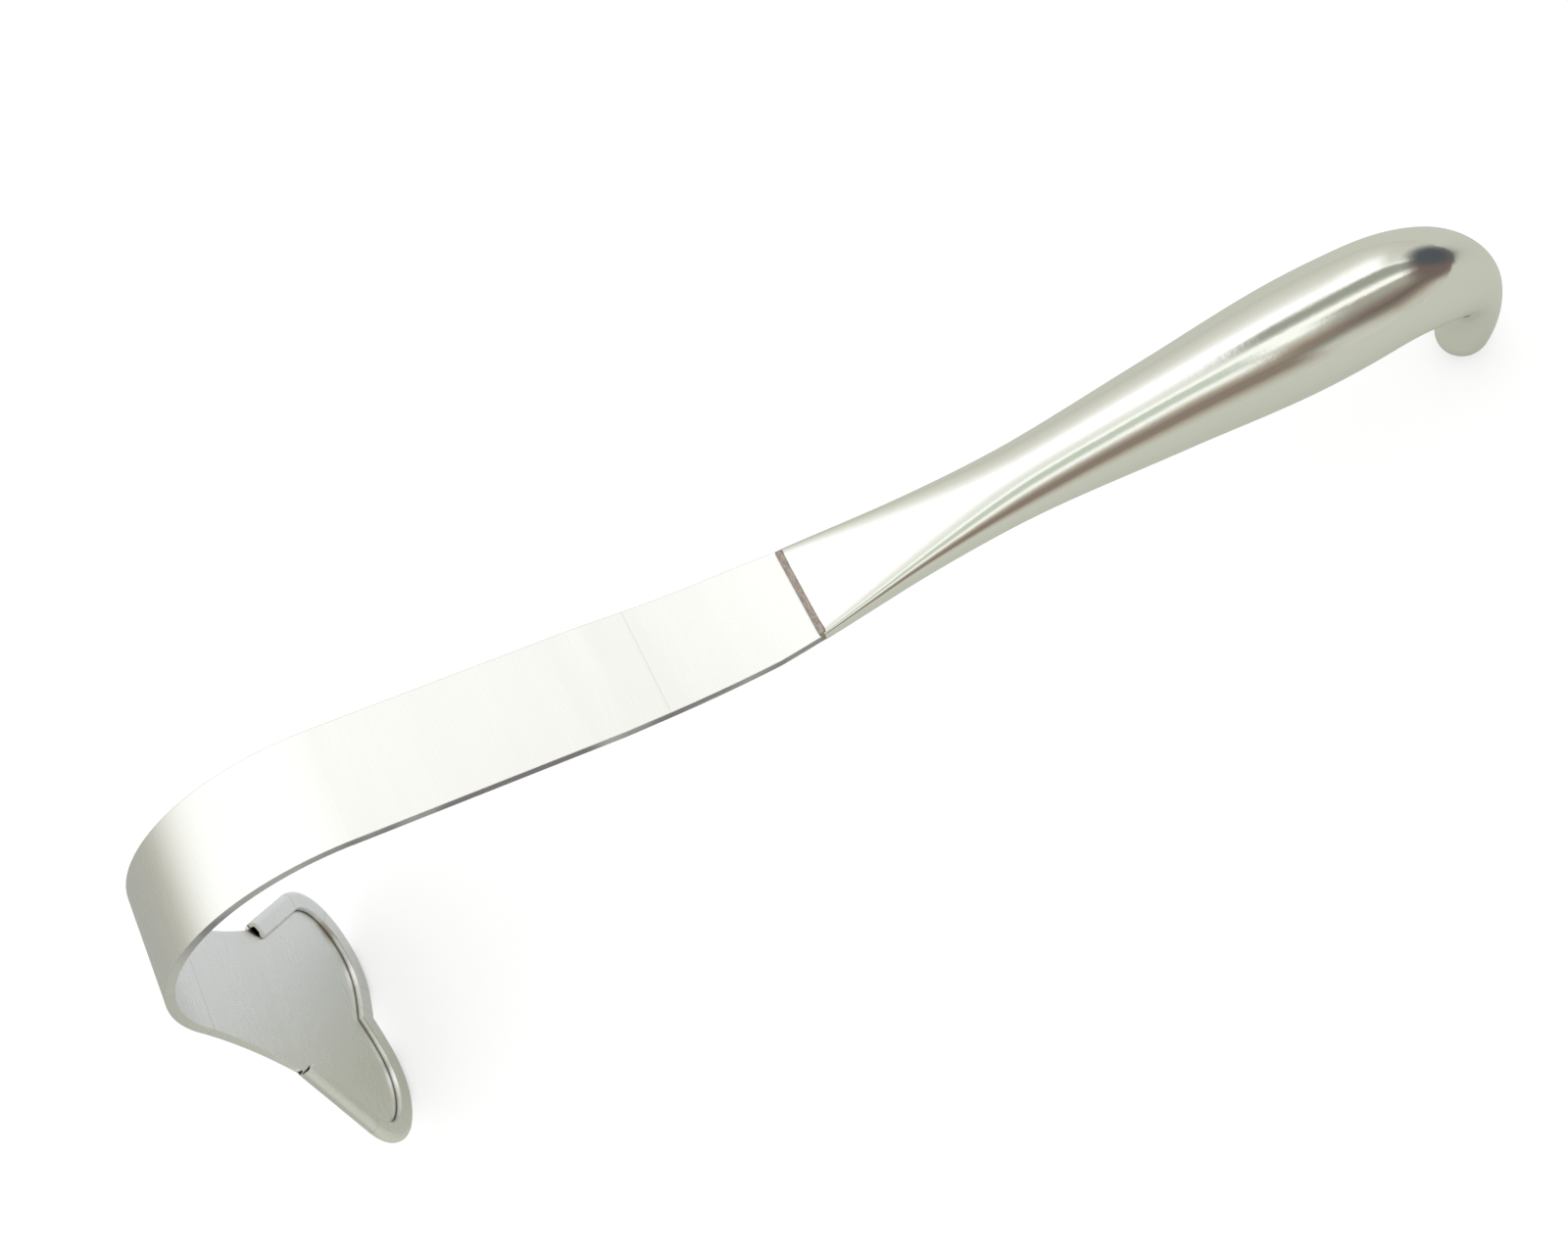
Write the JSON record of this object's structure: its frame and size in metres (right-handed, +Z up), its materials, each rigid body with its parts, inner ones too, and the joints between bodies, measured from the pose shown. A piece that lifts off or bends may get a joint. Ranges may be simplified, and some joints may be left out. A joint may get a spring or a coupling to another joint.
{
  "type": "surgical spatula",
  "caption": "Abdominal retractor spatula with a bent steel strip, a heart-shaped blade with hemmed rim and a hollow hooked handle.",
  "frame": {"origin": "on the table under the middle of the part's box, as it stands on the heart's two lobes and the hook's end", "axes": "+X from the blade towards the handle's hook, +Y across the strip, +Z up"},
  "size_m": [0.3108, 0.067, 0.1205],
  "materials": {
    "blade_steel": "satin",
    "handle_steel": "polished",
    "filler": "satin"
  },
  "bodies": {
    "root": {"blade": "blade_steel", "handle": "handle_steel", "braze": "filler"}
  },
  "joints": []
}
